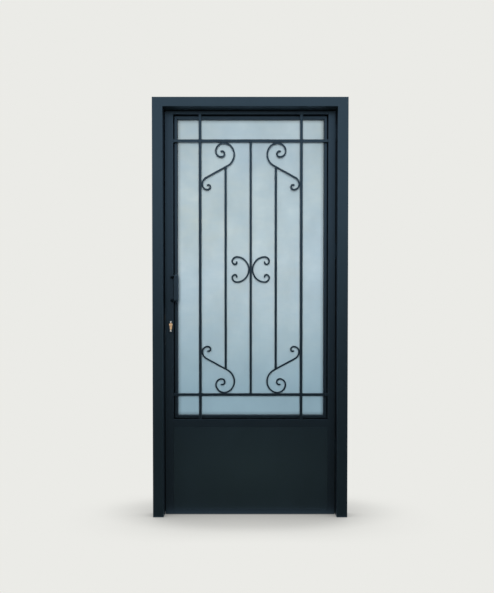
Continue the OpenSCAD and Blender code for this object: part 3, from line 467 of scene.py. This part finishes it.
def sealant():
    """The dark fillet of sealant between the sash bars and the street side of the pane."""
    size, clear = 0.0016, 0.00005
    left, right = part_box("sash_left")[1].x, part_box("sash_right")[0].x
    below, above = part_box("sash_bottom")[1].z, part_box("sash_top")[0].z
    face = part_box("glass_pane")[0].y - clear
    corners = [(left, below, 1, 1), (right, below, -1, 1), (right, above, -1, -1),
               (left, above, 1, -1)]
    hollowed = [(0.0, 0.0), (size, 0.0), (size * 0.45, size * 0.4), (0.0, size)]
    work = bmesh.new()
    rows = [[work.verts.new((x + in_x * over, face - out, z + in_z * over))
             for over, out in hollowed] for x, z, in_x, in_z in corners]
    skin(work, rows, closed=True)
    bmesh.ops.recalc_face_normals(work, faces=work.faces)
    add_piece("sealant_line", mesh_from(work, "sealant_line"), "casement", "seal_rubber")


# ---- floor, light and camera -------------------------------------------------------------

BACKDROP = srgb(235, 235, 231)


def plane(name, corners, material):
    """A stage card from its corners in rows: near left, near right, far left, far right."""
    mesh = bpy.data.meshes.new(name)
    mesh.from_pydata(corners, [], [(0, 1, 3, 2)])
    mesh.materials.append(material)
    made = bpy.data.objects.new(name, mesh)
    bpy.context.scene.collection.objects.link(made)
    return made


def floor():
    """Pale floor that glows as the backdrop does.

    Painted shadow darkens it where the object shuts the light out, and a little in a wide ellipse
    round it.
    """
    finish = Finish("floor_pale")
    # painted contact shadow: ambient occlusion dims the floor's glow near the object
    near = finish.node("ShaderNodeAmbientOcclusion", {"Distance": 0.5}, samples=16)
    painted_contact_shadow = finish.blend(near.outputs["AO"], dimmed(BACKDROP, 0.15), BACKDROP)
    black = (0.0, 0.0, 0.0, 1.0)
    # The painted shadow's ellipse ends 0.8 m to each side and 0.4 m in front and behind.
    shadow_oval = finish.ball(finish.place(stretch=(1.22, 2.3, 1), shift=(0, -0.13, 0)))
    shade = finish.blend(finish.ease(shadow_oval, 0.0, 0.4, top=0.12), painted_contact_shadow, black)
    glow = finish.node("ShaderNodeEmission", {"Color": shade, "Strength": 1.0})
    dull = finish.node("ShaderNodeBsdfDiffuse", {"Color": srgb(110, 110, 108)})
    ray = finish.node("ShaderNodeLightPath")
    swap = finish.node("ShaderNodeMixShader", {"Fac": ray.outputs["Is Diffuse Ray"],
                                               1: glow.outputs["Emission"],
                                               2: dull.outputs["BSDF"]})
    output = finish.tree.nodes["Material Output"]
    finish.feed(output.inputs["Surface"], swap.outputs["Shader"])
    reach = 14.0
    plane("floor", [(x, y, 0) for y in (-reach, reach) for x in (-reach, reach)],
          finish.material)


def flags():
    """Dark cards that only gloss sees: in front and behind, one on the floor, one standing."""
    card = Finish("flag_card", Base_Color=srgb(20, 20, 20), Roughness=1.0).material
    near, stand, far, reach, lift, top = 0.08, 4.6, 9, 6, 0.002, 1.75
    for side, way in (("front", -1), ("back", 1)):
        lying = [(x, y, lift) for y in (way * far, way * near) for x in (-reach, reach)]
        standing = [(x, way * stand, z) for z in (0, top) for x in (-reach, reach)]
        for made in (plane("floor_flag_" + side, lying, card),
                     plane("standing_flag_" + side, standing, card)):
            made.visible_camera = False
            made.visible_diffuse = False
            made.visible_shadow = False
            made.visible_transmission = False


def sky():
    """The pale backdrop, with a dim vertical sweep of light in its place for diffuse rays."""
    world = bpy.data.worlds.new("studio")
    bpy.context.scene.world = world
    world.use_nodes = True
    tree = world.node_tree
    tree.nodes.clear()
    ways = tree.nodes.new("ShaderNodeTexCoord")
    height = tree.nodes.new("ShaderNodeSeparateXYZ")
    tree.links.new(ways.outputs["Generated"], height.inputs["Vector"])
    span = tree.nodes.new("ShaderNodeMapRange")
    span.inputs["From Min"].default_value = -1.0
    tree.links.new(height.outputs["Z"], span.inputs["Value"])
    ramp = tree.nodes.new("ShaderNodeValToRGB")
    # From straight down, 0, to straight up, 1, and how bright it is there.
    stops = [(0.0, 0.04), (0.47, 0.06), (0.52, 0.14), (0.6, 0.2), (0.7, 0.22), (1.0, 0.24)]
    for position, level in stops[1:-1]:
        ramp.color_ramp.elements.new(position)
    for element, (position, level) in zip(ramp.color_ramp.elements, stops):
        element.position = position
        element.color = (level * 0.93, level * 0.98, level, 1.0)
    tree.links.new(span.outputs["Result"], ramp.inputs["Fac"])
    soft = tree.nodes.new("ShaderNodeBackground")
    tree.links.new(ramp.outputs["Color"], soft.inputs["Color"])
    plain = tree.nodes.new("ShaderNodeBackground")
    plain.inputs["Color"].default_value = BACKDROP
    ray = tree.nodes.new("ShaderNodeLightPath")
    choose = tree.nodes.new("ShaderNodeMixShader")
    tree.links.new(ray.outputs["Is Diffuse Ray"], choose.inputs["Fac"])
    tree.links.new(plain.outputs["Background"], choose.inputs[1])
    tree.links.new(soft.outputs["Background"], choose.inputs[2])
    output = tree.nodes.new("ShaderNodeOutputWorld")
    tree.links.new(choose.outputs["Shader"], output.inputs["Surface"])


def lamp(name, place, target, size, watts):
    data = bpy.data.lights.new(name, "AREA")
    data.shape = "RECTANGLE"
    data.size, data.size_y = size
    data.energy = watts
    light = bpy.data.objects.new(name, data)
    light.location = place
    light.rotation_euler = (Vector(target) - Vector(place)).to_track_quat("-Z", "Y").to_euler()
    bpy.context.scene.collection.objects.link(light)
    return light


def lamps():
    """A weak lamp overhead and a softbox on each side; gloss doesn't see the softboxes."""
    away, height, aim = 4.5, 1.2, (0, 0, 1.1)
    lamp("overhead", (0, 0, 5.0), (0, 0, 0), (5.0, 3.0), 20)
    for name, y in (("front_softbox", -away), ("back_softbox", away)):
        lamp(name, (0, y, height), aim, (1.6, 1.6), 235).visible_glossy = False
    for name, x in (("left_softbox", -away), ("right_softbox", away)):
        lamp(name, (x, 0, height), aim, (0.8, 1.6), 150).visible_glossy = False


def camera():
    """Eye height, a little left of the door's middle and tilted a little down."""
    aside, away, height, tilt = -0.0155, 3.3, 0.855, 1.3
    data = bpy.data.cameras.new("camera")
    data.lens = 41.0
    data.shift_y = 0.1048
    eye = bpy.data.objects.new("camera", data)
    eye.location = (aside, FACE_Y - away, height)
    eye.rotation_euler = (math.radians(90 - tilt), 0, 0)
    bpy.context.scene.collection.objects.link(eye)
    bpy.context.scene.camera = eye


# ---- build -------------------------------------------------------------------------------

finish_nodes()
soften_all()
welds()
sealant()
floor()
flags()
sky()
lamps()
camera()
bpy.context.scene.view_settings.view_transform = "Standard"
